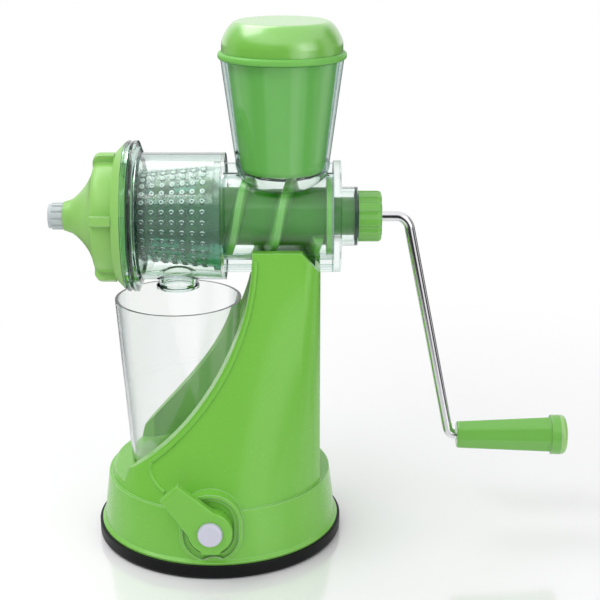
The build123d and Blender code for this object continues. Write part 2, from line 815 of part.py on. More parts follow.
# ================================================================== strainer and its gasket
strainer_right = drum_end_left
strainer_ring_left = strainer_right - strainer_ring


def strainer_radius(x):
    """Inside radius of the strainer's cone at x."""
    share = (x - drum_left) / (strainer_right - drum_left)
    return strainer_left_radius + share * (strainer_right_radius - strainer_left_radius)


with BuildPart() as strainer:
    with BuildSketch(side_plane):
        outline(
            (drum_left - strainer_flange, strainer_left_radius),
            (drum_left - strainer_flange, mouth_bore - move_gap),
            (drum_left, mouth_bore - move_gap),
            (drum_left, strainer_left_radius + strainer_wall),
            (strainer_ring_left, strainer_radius(strainer_ring_left) + strainer_wall),
            (strainer_ring_left, strainer_right_radius + 2 * strainer_wall),
            (strainer_right, strainer_right_radius + 2 * strainer_wall),
            (strainer_right, strainer_right_radius),
            (drum_left, strainer_left_radius),
        )
    revolve(axis=screw_axis)
    for column in range(hole_columns):
        hole_x = hole_first_x + column * hole_pitch
        with Locations(across(hole_x)):
            with PolarLocations(strainer_radius(hole_x) + strainer_wall / 2, holes_round):
                Cylinder(hole_radius, 3 * strainer_wall, rotation=(0, 90, 0), mode=Mode.SUBTRACT)

with BuildPart() as strainer_gasket:
    with BuildSketch(across(gasket_left)):
        Circle(mouth_bore - move_gap)
        Circle(mouth_bore - move_gap - gasket_width, mode=Mode.SUBTRACT)
    extrude(amount=gasket_thickness)

# ================================================================== end cap and pulp nut
cap_right = mouth_left - seat_gap
cap_body_left = cap_right - cap_rim_thickness
with BuildPart() as end_cap:
    with BuildSketch(side_plane):
        with BuildLine():
            Polyline(
                (cap_nose_x, 0),
                (cap_nose_x, cap_nose_radius),
                (cap_waist_x, cap_waist_radius),
            )
            bell = TangentArc(
                (cap_waist_x, cap_waist_radius),
                (cap_shoulder_x, cap_shoulder_radius),
                tangent=(1, bell_slope),
            )
            Spline(
                (cap_shoulder_x, cap_shoulder_radius),
                (cap_shoulder_x + cap_dome, cap_body_radius),
                tangents=(bell % 1, (1, 0)),
            )
            Polyline(
                (cap_shoulder_x + cap_dome, cap_body_radius),
                (cap_body_left, cap_body_radius),
                (cap_body_left, cap_rim_radius - cap_rim_thickness),
                (cap_right - seat_gap, cap_rim_radius),
                (cap_right, cap_rim_radius),
                (cap_right, 0),
                (cap_nose_x, 0),
            )
        make_face()
    revolve(axis=screw_axis)
    # grip lugs round the body
    for number in range(lug_count):
        with BuildSketch(side_plane_turned(lug_phase + number * 360 / lug_count)):
            with BuildLine():
                RadiusArc(
                    (cap_shoulder_x, lug_reach - lug_round),
                    (cap_shoulder_x + lug_round, lug_reach),
                    lug_round,
                )
                Polyline(
                    (cap_shoulder_x + lug_round, lug_reach),
                    (cap_body_left, lug_reach),
                    (cap_body_left, cap_nose_radius),
                    (cap_shoulder_x, cap_nose_radius),
                    (cap_shoulder_x, lug_reach - lug_round),
                )
            make_face()
        extrude(amount=lug_width / 2, both=True)
    # spigot that goes into the mouth, with its bayonet lugs
    with BuildSketch(side_plane):
        outline(
            (cap_right - cap_rim_thickness / 2, cap_spigot_bore),
            (gasket_left - seat_gap, cap_spigot_bore),
            (gasket_left - seat_gap, mouth_bore - run_fit),
            (cap_right - cap_rim_thickness / 2, mouth_bore - run_fit),
        )
    revolve(axis=screw_axis)
    for number in range(bayonet_count):
        with BuildSketch(side_plane_turned(number * 360 / bayonet_count)):
            outline(
                (bayonet_left, mouth_bore - bayonet_height),
                (bayonet_left, mouth_bore + bayonet_height),
                (bayonet_left + bayonet_width, mouth_bore + bayonet_height),
                (bayonet_left + bayonet_width, mouth_bore - bayonet_height),
            )
        revolve(axis=screw_axis, revolution_arc=bayonet_arc)
    # inside, from the spigot down to the outlet
    with BuildSketch(side_plane):
        with BuildLine():
            Polyline(
                (nut_seat_x - nut_length, 0),
                (nut_seat_x - nut_length, cap_outlet_radius),
                (cap_waist_x + cap_shell, cap_outlet_radius),
            )
            TangentArc(
                (cap_waist_x + cap_shell, cap_outlet_radius),
                (cap_shoulder_x + cap_shell, cap_shoulder_radius - cap_shell),
                tangent=(1, bell_slope),
            )
            Polyline(
                (cap_shoulder_x + cap_shell, cap_shoulder_radius - cap_shell),
                (cap_body_left, cap_spigot_bore),
                (gasket_left, cap_spigot_bore),
                (gasket_left, 0),
                (nut_seat_x - nut_length, 0),
            )
        make_face()
    revolve(axis=screw_axis, mode=Mode.SUBTRACT)
    # threaded outlet pipe for the pulp nut
    with BuildSketch(across(cap_nose_x)):
        Circle(nut_thread_radius)
        Circle(cap_outlet_radius, mode=Mode.SUBTRACT)
    extrude(amount=-(nut_length - nut_end_wall - move_gap))

with BuildPart() as pulp_nut:
    with BuildSketch(across(nut_seat_x)):
        Circle(nut_radius)
        with PolarLocations(nut_radius, nut_flutes):
            Circle(nut_flute_radius, mode=Mode.SUBTRACT)
        Circle(nut_thread_radius + run_fit, mode=Mode.SUBTRACT)
    extrude(amount=-(nut_length - nut_end_wall))
    with BuildSketch(across(nut_seat_x - nut_length)):
        Circle(nut_radius - nut_flute_radius)
        Circle(nut_outlet_radius, mode=Mode.SUBTRACT)
    extrude(amount=nut_end_wall)

# ================================================================== screw
flight_right = disc_left + disc_thickness - flight_root_width / 2 - seat_gap
with BuildPart() as auger:
    with BuildSketch(side_plane):
        outline(
            (core_tip_x, 0),
            (core_tip_x, core_tip_radius),
            (drum_left, core_mouth_radius),
            (drum_end_left, core_radius),
            (disc_left, core_radius),
            (disc_left, flight_radius),
            (disc_left + disc_thickness, flight_radius),
            (disc_left + disc_thickness, shaft_radius),
            (neck_right, shaft_radius),
            (neck_right, stub_radius),
            (neck_right + stub_length, stub_radius),
            (neck_right + stub_length, 0),
        )
    revolve(axis=screw_axis)
    for turn in range(math.ceil((flight_right - flight_left) / flight_pitch)):
        turn_left = flight_left + turn * flight_pitch
        with BuildLine():
            turn_path = Helix(
                pitch=flight_pitch,
                height=min(flight_pitch, flight_right - turn_left),
                radius=flight_root_radius,
                center=(turn_left, 0, auger_height),
                direction=(1, 0, 0),
                lefthand=True,
            )
        outward = (turn_path @ 0 - Vector(turn_left, 0, auger_height)).normalized()
        turn_plane = Plane(
            origin=turn_path @ 0,
            x_dir=outward,
            z_dir=outward.cross(Vector(1, 0, 0)),
        )
        with BuildSketch(turn_plane):
            outline(
                (0, -flight_root_width / 2),
                (flight_radius - flight_root_radius, -flight_tip_width / 2),
                (flight_radius - flight_root_radius, flight_tip_width / 2),
                (0, flight_root_width / 2),
            )
        sweep(path=turn_path, is_frenet=True)
    with BuildSketch(across(neck_right + stub_length)):
        Circle(insert_radius + screw_fit)
    extrude(amount=-insert_length, mode=Mode.SUBTRACT)

with BuildPart() as shaft_insert:
    with BuildSketch(across(neck_right + stub_length)):
        Circle(insert_radius)
        Circle(rod_radius + screw_fit, mode=Mode.SUBTRACT)
    extrude(amount=-insert_length)

with BuildPart() as thrust_washer:
    with BuildSketch(across(end_plate_left)):
        Circle(flight_radius - move_gap)
        Circle(shaft_radius + run_fit, mode=Mode.SUBTRACT)
    extrude(amount=-washer_thickness)

with BuildPart() as shaft_seal:
    with BuildSketch(across(neck_right - move_gap)):
        Circle(neck_bore)
        Circle(shaft_radius + run_fit, mode=Mode.SUBTRACT)
    extrude(amount=-seal_width)

with BuildPart() as saddle_screws:
    with BuildSketch(Plane.XY.offset(rail_bottom - saddle_floor)):
        with Locations((hopper_x, 0)):
            with GridLocations(saddle_screw_spacing, 0, 2, 1):
                Circle(saddle_screw_head_radius)
    extrude(amount=-saddle_screw_head_height)
    with BuildSketch(Plane.XY.offset(rail_bottom - saddle_floor)):
        with Locations((hopper_x, 0)):
            with GridLocations(saddle_screw_spacing, 0, 2, 1):
                Circle(saddle_screw_radius)
    extrude(amount=saddle_screw_length)

# ================================================================== drive nut and crank
with BuildPart() as drive_nut:
    with BuildSketch(across(drive_nut_left)):
        Circle(drive_nut_radius)
        with PolarLocations(drive_nut_radius + drive_flute_radius - drive_flute_depth, drive_nut_flutes):
            Circle(drive_flute_radius, mode=Mode.SUBTRACT)
    extrude(amount=drive_nut_length)
    fillet(drive_nut.faces().sort_by(Axis.X)[-1].edges(), radius=drive_nut_round)
    with BuildSketch(across(drive_nut_left)):
        Circle(stub_radius + screw_fit)
    extrude(amount=neck_right + stub_length + screw_fit - drive_nut_left, mode=Mode.SUBTRACT)
    with BuildSketch(across(drive_nut_left)):
        Circle(rod_radius + screw_fit)
    extrude(amount=drive_nut_length, mode=Mode.SUBTRACT)

rod_start_x = neck_right + stub_length - insert_length
with BuildPart() as crank_rod:
    with BuildLine(Plane.XZ):
        rod_path = FilletPolyline(
            (rod_start_x, auger_height),
            (rod_top_x, auger_height),
            (rod_low_x, grip_height),
            (rod_end_x, grip_height),
            radius=[rod_top_bend, rod_low_bend],
        )
    with BuildSketch(across(rod_start_x)):
        Circle(rod_radius)
    sweep(path=rod_path)

with BuildPart() as grip_clip:
    with BuildSketch(across(rod_end_x - rod_radius)):
        with Locations((-crank_radius, 0)):
            Circle(clip_radius)
            Circle(rod_radius + screw_fit, mode=Mode.SUBTRACT)
    extrude(amount=clip_thickness)

# ================================================================== grip
collar_left = grip_right - grip_collar_length
with BuildPart() as grip:
    for x, radius in ((grip_left, grip_left_radius), (collar_left, grip_right_radius)):
        with BuildSketch(across(x)):
            with Locations((-crank_radius, 0)):
                RegularPolygon(radius, grip_sides)
                fillet(vertices(), radius=radius * grip_round_share)
    loft(ruled=True)
    with BuildSketch(grip_plane):
        outline(
            (collar_left, 0),
            (collar_left, grip_right_radius * math.cos(math.pi / grip_sides)),
            (collar_left + grip_collar_round, grip_collar_radius),
            (grip_right - grip_cap_length, grip_collar_radius),
            (grip_right - grip_cap_length, 0),
        )
    revolve(axis=grip_axis)
    fillet(grip.faces().sort_by(Axis.X)[0].edges(), radius=grip_end_round)
    with BuildSketch(across(grip_left)):
        with Locations((-crank_radius, 0)):
            Circle(rod_radius + run_fit)
    extrude(amount=grip_length, mode=Mode.SUBTRACT)
    with BuildSketch(across(rod_end_x - rod_radius - move_gap)):
        with Locations((-crank_radius, 0)):
            Circle(grip_pocket_radius)
    extrude(amount=grip_length, mode=Mode.SUBTRACT)

with BuildPart() as grip_cap:
    with BuildSketch(across(grip_right - grip_cap_length)):
        with Locations((-crank_radius, 0)):
            Circle(grip_collar_radius)
    extrude(amount=grip_cap_length)
    fillet(grip_cap.faces().sort_by(Axis.X)[-1].edges(), radius=grip_cap_round)
    with BuildSketch(across(grip_right - grip_cap_length)):
        with Locations((-crank_radius, 0)):
            Circle(grip_pocket_radius - screw_fit)
            Circle(grip_pocket_radius - grip_cap_wall, mode=Mode.SUBTRACT)
    extrude(amount=-grip_cap_plug)

# ================================================================== pusher
pusher_flange_top = pusher_seat + pusher_flange_thickness
with BuildPart() as pusher_body:
    with BuildSketch(hopper_plane):
        outline(
            (0, pusher_low_height),
            (pusher_low_radius, pusher_low_height),
            (pusher_top_radius, pusher_seat),
            (pusher_flange_radius, pusher_seat),
            (pusher_flange_radius, pusher_flange_top),
            (0, pusher_flange_top),
        )
    revolve(axis=hopper_axis)
    rims = pusher_body.edges().filter_by(GeomType.CIRCLE)
    fillet(rims.group_by(Axis.Z)[0], radius=pusher_round)
    fillet(rims.group_by(SortBy.RADIUS)[-1], radius=pusher_flange_round)
    with BuildSketch(hopper_plane):
        outline(
            (0, pusher_low_height + pusher_wall),
            (pusher_low_radius - pusher_round, pusher_low_height + pusher_wall),
            (pusher_low_radius - pusher_wall, pusher_low_height + pusher_round),
            (pusher_top_radius - pusher_wall, pusher_flange_top),
            (0, pusher_flange_top),
        )
    revolve(axis=hopper_axis, mode=Mode.SUBTRACT)

lid_top = pusher_flange_top + lid_height
lid_spigot_radius = pusher_top_radius - pusher_wall - lid_plug_gap


def lid_section(inset):
    """Half section of the lid's dome, drawn inside by the inset."""
    radius = lid_radius - inset
    top = lid_top - inset
    shoulder = pusher_flange_top + lid_skirt
    with BuildSketch() as section:
        with BuildLine():
            Polyline((radius, shoulder), (radius, pusher_flange_top), (0, pusher_flange_top))
            Polyline((0, pusher_flange_top), (0, top), (lid_flat_radius - inset, top))
            Spline(
                (lid_flat_radius - inset, top),
                (radius, shoulder),
                tangents=((1, 0), (0, -1)),
                tangent_scalars=(lid_fullness, lid_fullness),
            )
        make_face()
    return section.sketch


with BuildPart() as pusher_lid:
    with BuildSketch(hopper_plane):
        add(lid_section(0))
    revolve(axis=hopper_axis)
    with BuildSketch(hopper_plane):
        add(lid_section(lid_wall))
    revolve(axis=hopper_axis, mode=Mode.SUBTRACT)
    # ring inside that plugs into the pusher's body
    with BuildSketch(Plane.XY.offset(pusher_flange_top - lid_spigot_depth)):
        with Locations((hopper_x, 0)):
            Circle(lid_spigot_radius)
            Circle(lid_spigot_radius - lid_wall, mode=Mode.SUBTRACT)
    extrude(amount=lid_spigot_depth + lid_height - lid_wall / 2)

# ================================================================== glass
with BuildPart() as glass:
    with BuildSketch(spout_plane):
        outline(
            (0, platform_height),
            (glass_bottom_radius, platform_height),
            (glass_top_radius, glass_top),
            (0, glass_top),
        )
    revolve(axis=spout_axis)
    fillet(glass.edges().filter_by(GeomType.CIRCLE).sort_by(Axis.Z)[0], radius=glass_round)
    with BuildSketch(spout_plane):
        outline(
            (0, platform_height + glass_floor),
            (glass_bottom_radius - glass_wall, platform_height + glass_floor),
            (glass_top_radius - glass_wall, glass_top),
            (0, glass_top),
        )
    revolve(axis=spout_axis, mode=Mode.SUBTRACT)

# ================================================================== files
pieces = {
    "suction_cup": suction_cup,
    "stand_body": stand_body,
    "base_plate": base_plate,
    "base_screws": base_screws,
    "cup_post": cup_post,
    "suction_lever": suction_lever,
    "cam_shaft": cam_shaft,
    "lever_screw": lever_screw,
    "lever_button": lever_button,
    "juicer_housing": juicer_housing,
    "saddle_screws": saddle_screws,
    "strainer": strainer,
    "strainer_gasket": strainer_gasket,
    "end_cap": end_cap,
    "pulp_nut": pulp_nut,
    "auger": auger,
    "shaft_insert": shaft_insert,
    "thrust_washer": thrust_washer,
    "shaft_seal": shaft_seal,
    "drive_nut": drive_nut,
    "crank_rod": crank_rod,
    "grip_clip": grip_clip,
    "grip": grip,
    "grip_cap": grip_cap,
    "pusher_body": pusher_body,
    "pusher_lid": pusher_lid,
    "glass": glass,
}
os.makedirs("parts", exist_ok=True)
for name, piece in pieces.items():
    piece.part.label = name
    export_step(piece.part, f"parts/{name}.step")
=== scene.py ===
import math

import bmesh
import bpy
from mathutils import Matrix, Vector
from mathutils.bvhtree import BVHTree


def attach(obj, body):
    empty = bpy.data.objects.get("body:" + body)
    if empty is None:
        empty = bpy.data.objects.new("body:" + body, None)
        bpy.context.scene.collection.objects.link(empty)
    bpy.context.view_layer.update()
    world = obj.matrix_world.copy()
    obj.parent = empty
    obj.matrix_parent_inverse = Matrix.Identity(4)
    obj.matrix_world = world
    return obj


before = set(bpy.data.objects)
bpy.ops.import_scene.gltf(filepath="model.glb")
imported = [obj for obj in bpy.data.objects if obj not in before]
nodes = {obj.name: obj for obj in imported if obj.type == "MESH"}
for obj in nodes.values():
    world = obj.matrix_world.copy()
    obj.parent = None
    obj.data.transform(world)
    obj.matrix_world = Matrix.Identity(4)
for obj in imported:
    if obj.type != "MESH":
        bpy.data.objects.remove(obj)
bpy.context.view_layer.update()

# ---------------------------------------------------------------- colours, linear
LEAF_GREEN = (0.185, 0.530, 0.060, 1)
# painted light: a lighter copy of the body green for the end cap and the grip's cap, for the light
# falling on them from the left
CAP_GREEN = (0.270, 0.560, 0.130, 1)
HANDLE_GREEN = (0.165, 0.460, 0.075, 1)
PUSHER_GREEN = (0.165, 0.500, 0.085, 1)
# painted shade: a darker copy of the body green, for the base plate
SHADE_GREEN = (0.050, 0.240, 0.036, 1)
# painted shade and light on the screw: its core is a darker copy of the green, its crests are
# painted paler
AUGER_GREEN = (0.040, 0.255, 0.012, 1)
CREST_GREEN = (0.200, 0.530, 0.110, 1)
SEAL_GREEN = (0.012, 0.05, 0.035, 1)
CLEAR = (0.915, 0.970, 0.945, 1)
CLEAR_RING = (0.76, 0.95, 0.86, 1)
# painted shade: the colour that clear rims and slanting walls are darkened towards
CLEAR_EDGE = (0.10, 0.33, 0.27, 1)
STRAINER_PALE = (0.97, 0.99, 0.98, 1)
# painted shade on the strainer's lower part, and also the tint of the light that passes through it
STRAINER_TEAL = (0.19, 0.54, 0.40, 1)
# painted light and shade on the strainer's rims: pale facing up, dark facing down, plain pale on
# the top rows
PIP_TOP = (0.85, 0.93, 0.90, 1)
PIP_PALE = (0.68, 0.88, 0.80, 1)
PIP_DEEP = (0.05, 0.13, 0.10, 1)
GLASS = (0.975, 0.985, 0.985, 1)
# painted shade: the colour that the glass's rims and slanting walls are darkened towards
GLASS_EDGE = (0.16, 0.22, 0.22, 1)
RUBBER_BLACK = (0.005, 0.005, 0.006, 1)
BUTTON_WHITE = (0.61, 0.61, 0.72, 1)
NUT_WHITE = (0.52, 0.57, 0.59, 1)
CHROME = (0.80, 0.80, 0.82, 1)
STEEL = (0.42, 0.42, 0.44, 1)
FLOOR_WHITE = (0.92, 0.91, 0.93, 1)
STRIP_DARK = (0.12, 0.22, 0.19, 1)
WHITE = (1, 1, 1, 1)

MM = 0.001
AXIS_HEIGHT = 0.1864            # screw axis above the floor
BARREL_INSIDE = 0.022           # inner radius of the housing's barrel


# ---------------------------------------------------------------- node helpers
def set_inputs(node, values):
    """Input values of a node, by socket name."""
    for label, value in values.items():
        node.inputs[label].default_value = value


def add_node(tree, kind, inputs=(), **settings):
    """A node of this kind with its settings and input values, by socket name or number."""
    node = tree.nodes.new(kind)
    for name, value in settings.items():
        setattr(node, name, value)
    for name, value in dict(inputs).items():
        if isinstance(value, bpy.types.NodeSocket):
            tree.links.new(value, node.inputs[name])
        else:
            node.inputs[name].default_value = value
    return node


def math_node(tree, operation, first, second=0.0, clamp=False):
    """The output of a Math node."""
    node = add_node(tree, "ShaderNodeMath", {0: first, 1: second}, operation=operation)
    node.use_clamp = clamp
    return node.outputs[0]


def vector_node(tree, operation, first, second=(0, 0, 0)):
    """The output of a Vector Math node."""
    node = add_node(tree, "ShaderNodeVectorMath", {0: first, 1: second}, operation=operation)
    return node.outputs["Value" if operation in ("DOT_PRODUCT", "LENGTH") else "Vector"]


def object_place(tree):
    """The place of a point in the piece's own space."""
    return add_node(tree, "ShaderNodeTexCoord").outputs["Object"]


def axis_part(tree, vector, axis):
    """One part of a vector: X, Y or Z."""
    return add_node(tree, "ShaderNodeSeparateXYZ", {0: vector}).outputs[axis]


def noise(tree, place, scale, detail, roughness=0.5):
    """A cloud pattern between 0 and 1."""
    inputs = {"Vector": place, "Scale": scale, "Detail": detail, "Roughness": roughness}
    return add_node(tree, "ShaderNodeTexNoise", inputs).outputs["Fac"]


def smooth_range(tree, value, low, high, to_low=0.0, to_high=1.0):
    """Value taken smoothly from one range to another."""
    node = add_node(
        tree,
        "ShaderNodeMapRange",
        {"Value": value, "From Min": low, "From Max": high, "To Min": to_low, "To Max": to_high},
        interpolation_type="SMOOTHSTEP",
    )
    return node.outputs["Result"]


def softened_edge(tree, radius, span, samples):
    """The normal with the edges rounded off, and a mask of where those edges are."""
    rounded = add_node(tree, "ShaderNodeBevel", {"Radius": radius}, samples=samples)
    rounded = rounded.outputs["Normal"]
    flat = add_node(tree, "ShaderNodeNewGeometry").outputs["Normal"]
    turned = vector_node(tree, "DOT_PRODUCT", rounded, flat)
    return rounded, smooth_range(tree, turned, *span)


def mix_colour(tree, factor, first, second):
    """The colour between two colours."""
    node = tree.nodes.new("ShaderNodeMix")
    node.data_type = "RGBA"
    for name, value in (("Factor_Float", factor), ("A_Color", first), ("B_Color", second)):
        socket = next(s for s in node.inputs if s.identifier == name)
        if isinstance(value, bpy.types.NodeSocket):
            tree.links.new(value, socket)
        else:
            socket.default_value = value
    return next(s for s in node.outputs if s.identifier == "Result_Color")


def mix_shader(tree, share, first, second):
    """Two shaders mixed, with this share of the second."""
    node = add_node(tree, "ShaderNodeMixShader", {0: share, 1: first, 2: second})
    return node.outputs["Shader"]


def new_group(name, inputs, outputs):
    """A node group with these inputs (name: kind, value) and outputs (name: kind)."""
    group = bpy.data.node_groups.new(name, "ShaderNodeTree")
    for label, (kind, value) in inputs.items():
        socket = group.interface.new_socket(label, in_out="INPUT", socket_type="NodeSocket" + kind)
        socket.default_value = value
    for label, kind in outputs.items():
        group.interface.new_socket(label, in_out="OUTPUT", socket_type="NodeSocket" + kind)
    given = group.nodes.new("NodeGroupInput").outputs
    result = group.nodes.new("NodeGroupOutput").inputs
    return group, given, result


# ---------------------------------------------------------------- shared effects
# cosine of the turn from the flat to the rounded face, where an edge begins and is full
MOULDED_EDGE_SPAN = (0.995, 0.80)
CLEAR_EDGE_SPAN = (0.99, 0.75)
SKIN_WEAR = 0.08                # roughness that the skin adds at its most


def make_moulded_finish():
    """Moulded plastic: uneven shade, fine skin, softened edges, and a painted highlight that
    lightens the edges towards white.
    """
    group, given, result = new_group(
        "moulded_finish",
        {
            "Colour": ("Color", LEAF_GREEN),
            "Shade Spread": ("Float", 0.08),
            "Shade Scale": ("Float", 14.0),
            "Edge Radius": ("Float", 0.8 * MM),
            "Edge Lift": ("Float", 0.35),
            "Skin Scale": ("Float", 900.0),
            "Skin Depth": ("Float", 0.05 * MM),
            "Roughness": ("Float", 0.22),
        },
        {"Colour": "Color", "Roughness": "Float", "Normal": "Vector"},
    )
    place = object_place(group)
    cloud = noise(group, place, given["Shade Scale"], detail=3.0, roughness=0.55)
    skin = noise(group, place, given["Skin Scale"], detail=2.0)
    rounded, edge = softened_edge(group, given["Edge Radius"], MOULDED_EDGE_SPAN, samples=6)
    # painted highlight: the colour is lightened towards white along the edges
    lift = math_node(group, "MULTIPLY", edge, given["Edge Lift"])
    # the cloud moves the colour's brightness a little either way
    swing = math_node(group, "SUBTRACT", cloud, 0.5)
    swing = math_node(group, "MULTIPLY", swing, given["Shade Spread"])
    swing = math_node(group, "ADD", swing, 1.0)
    shaded = {"Value": swing, "Color": given["Colour"]}
    shaded = add_node(group, "ShaderNodeHueSaturation", shaded).outputs["Color"]
    group.links.new(mix_colour(group, lift, shaded, WHITE), result["Colour"])
    wear = math_node(group, "MULTIPLY", skin, SKIN_WEAR)
    rough = math_node(group, "ADD", given["Roughness"], wear)
    group.links.new(rough, result["Roughness"])
    relief = {"Height": skin, "Distance": given["Skin Depth"], "Strength": 0.35, "Normal": rounded}
    relief = add_node(group, "ShaderNodeBump", relief).outputs["Normal"]
    group.links.new(relief, result["Normal"])
    return group


def make_clear_finish():
    """Clear moulding: painted shade darkens its rims and folds and the walls that turn away from
    the eye, and its surface has a faint flow pattern.
    """
    group, given, result = new_group(
        "clear_finish",
        {
            "Colour": ("Color", CLEAR),
            "Edge Colour": ("Color", CLEAR_EDGE),
            "Slant": ("Float", 0.0),
            "Slant Share": ("Float", 0.8),
            "Edge Radius": ("Float", 0.7 * MM),
            "Edge Share": ("Float", 0.6),
            "Flow Scale": ("Float", 60.0),
            "Flow Depth": ("Float", 0.05 * MM),
        },
        {"Colour": "Color", "Normal": "Vector"},
    )
    flow = noise(group, object_place(group), given["Flow Scale"], detail=1.0, roughness=0.4)
    edge = softened_edge(group, given["Edge Radius"], CLEAR_EDGE_SPAN, samples=4)[1]
    edge = math_node(group, "MULTIPLY", edge, given["Edge Share"])
    slant = math_node(group, "MULTIPLY", given["Slant"], given["Slant Share"])
    # painted shade on the rims and on walls that turn away from the eye
    dark = math_node(group, "MAXIMUM", edge, slant, clamp=True)
    colour = mix_colour(group, dark, given["Colour"], given["Edge Colour"])
    group.links.new(colour, result["Colour"])
    relief = {"Height": flow, "Distance": given["Flow Depth"], "Strength": 0.3}
    relief = add_node(group, "ShaderNodeBump", relief).outputs["Normal"]
    group.links.new(relief, result["Normal"])
    return group


moulded_finish = make_moulded_finish()
clear_finish = make_clear_finish()

# ---------------------------------------------------------------- materials
SHADER_SOCKETS = {"Colour": "Base Color", "Roughness": "Roughness", "Normal": "Normal"}
# painted shade: the colour of a clear wall is darkened where it turns away from the eye
SLANT_SPAN = (0.45, 0.97)       # a clear wall darkens as it turns away from the eye
LIGHT_SHARE = 0.92              # part of the light that falls straight through clear walls
PLASTIC_INDEX = 1.49
GLASS_INDEX = 1.45
BRUSH_SCALE = 1600.0            # fineness of the marks in metal
# painted highlight that lightens the edges of metal
METAL_EDGE_LIFT = 0.1


def start_material(name):
    """A new material, its tree and its Principled shader."""
    material = bpy.data.materials.new(name)
    material.use_nodes = True
    tree = material.node_tree
    return material, tree, tree.nodes["Principled BSDF"]


def add_effect(tree, shader, group, **finish):
    """A shared effect that feeds the shader; finish sets the effect's inputs."""
    effect = tree.nodes.new("ShaderNodeGroup")
    effect.name = "effect"
    effect.node_tree = group
    set_inputs(effect, {key.replace("_", " ").title(): value for key, value in finish.items()})
    for output in effect.outputs:
        tree.links.new(output, shader.inputs[SHADER_SOCKETS[output.name]])
    return effect


def plastic(
    name, colour, roughness=0.2, coat=0.0, coat_roughness=0.08, coat_index=1.5, shine=0.5, **finish
):
    """Moulded plastic or rubber of this colour; finish sets inputs of the shared effect."""
    material, tree, shader = start_material(name)
    add_effect(tree, shader, moulded_finish, colour=colour, roughness=roughness, **finish)
    set_inputs(
        shader,
        {
            "Coat Weight": coat,
            "Coat Roughness": coat_roughness,
            "Coat IOR": coat_index,
            "Specular IOR Level": shine,
        },
    )
    return material


def clear(name, colour, edge_colour, index, roughness=0.02, share=1.0, **finish):
    """Clear plastic or glass. Light falls through it, so that what it holds isn't in the dark."""
    material, tree, shader = start_material(name)
    effect = add_effect(
        tree, shader, clear_finish, colour=colour, edge_colour=edge_colour, **finish
    )
    # painted shade: how far the wall turns from the eye sets how far its colour is darkened
    facing = add_node(tree, "ShaderNodeLayerWeight", {"Blend": 0.5}).outputs["Facing"]
    tree.links.new(smooth_range(tree, facing, *SLANT_SPAN), effect.inputs["Slant"])
    set_inputs(shader, {"Roughness": roughness, "IOR": index, "Transmission Weight": share})
    path = tree.nodes.new("ShaderNodeLightPath").outputs
    through = math_node(tree, "MAXIMUM", path["Is Shadow Ray"], path["Is Diffuse Ray"])
    through = math_node(tree, "MULTIPLY", through, LIGHT_SHARE)
    gap = add_node(tree, "ShaderNodeBsdfTransparent", {"Color": colour}).outputs["BSDF"]
    surface = mix_shader(tree, through, shader.outputs["BSDF"], gap)
    tree.links.new(surface, tree.nodes["Material Output"].inputs["Surface"])
    return material


def metal(name, colour, roughness, brush_depth):
    """Bare or plated metal with fine marks in its surface."""
    material, tree, shader = start_material(name)
    add_effect(
        tree,
        shader,
        moulded_finish,
        colour=colour,
        roughness=roughness,
        edge_lift=METAL_EDGE_LIFT,
        skin_depth=brush_depth,
        skin_scale=BRUSH_SCALE,
    )
    set_inputs(shader, {"Metallic": 1.0})
    return material


# each of these has its edges lightened towards white by a painted highlight, 0.35 unless given
green_gloss = plastic(
    "green_gloss_plastic",
    LEAF_GREEN,
    roughness=0.22,
    coat=0.2,
    edge_radius=0.6 * MM,
    edge_lift=0.45,
    skin_depth=0.02 * MM,
)
lid_green = plastic(
    "lid_green_plastic",
    LEAF_GREEN,
    roughness=0.25,
    coat=1.0,
    coat_roughness=0.24,
    coat_index=2.0,
    skin_depth=0.02 * MM,
)
# painted light: the end cap's paler green stands in for light from the left
cap_green = plastic(
    "cap_green_plastic", CAP_GREEN, roughness=0.3, edge_lift=0.3, skin_depth=0.02 * MM
)
handle_green = plastic(
    "handle_green_plastic",
    HANDLE_GREEN,
    roughness=0.2,
    coat=0.3,
    edge_lift=0.3,
    skin_depth=0.02 * MM,
)
# painted light: the grip's cap takes the same paler green, with a strong painted edge highlight
grip_end_green = plastic("grip_end_plastic", CAP_GREEN, roughness=0.25, coat=0.8, edge_lift=0.5)
pusher_green = plastic("pusher_green_plastic", PUSHER_GREEN, roughness=0.35)
# painted shade: the base plate takes a darker copy of the body green
green_shade = plastic("green_inner_plastic", SHADE_GREEN, roughness=0.3)
auger_green = plastic(
    "auger_green_plastic", AUGER_GREEN, roughness=0.25, edge_lift=0.2, edge_radius=1.2 * MM
)
black_rubber = plastic(
    "black_rubber", RUBBER_BLACK, roughness=0.38, shine=0.15, edge_lift=0.02, skin_depth=0.1 * MM
)
seal_rubber = plastic("seal_rubber", SEAL_GREEN, roughness=0.5, edge_lift=0.05)
pip_plastic = plastic("strainer_pip_plastic", PIP_PALE, roughness=0.12, coat=1.0, edge_lift=0.0)
white_button = plastic("white_button_plastic", BUTTON_WHITE, roughness=0.3, edge_lift=0.2)
white_nut = plastic("white_nut_plastic", NUT_WHITE, roughness=0.35, edge_lift=0.2)
housing_clear = clear(
    "housing_clear_plastic",
    CLEAR,
    CLEAR_EDGE,
    PLASTIC_INDEX,
    edge_radius=1.0 * MM,
    edge_share=0.85,
    slant_share=0.9,
)
strainer_clear = clear(
    "strainer_clear_plastic",
    STRAINER_TEAL,
    CLEAR_EDGE,
    PLASTIC_INDEX,
    roughness=0.05,
    share=0.92,
    edge_share=0.8,
)
catch_glass = clear("catch_glass", GLASS, GLASS_EDGE, GLASS_INDEX, share=0.97, edge_share=0.5)
chrome = metal("chrome_plate", CHROME, 0.05, 0.005 * MM)
steel = metal("screw_steel", STEEL, 0.25, 0.03 * MM)

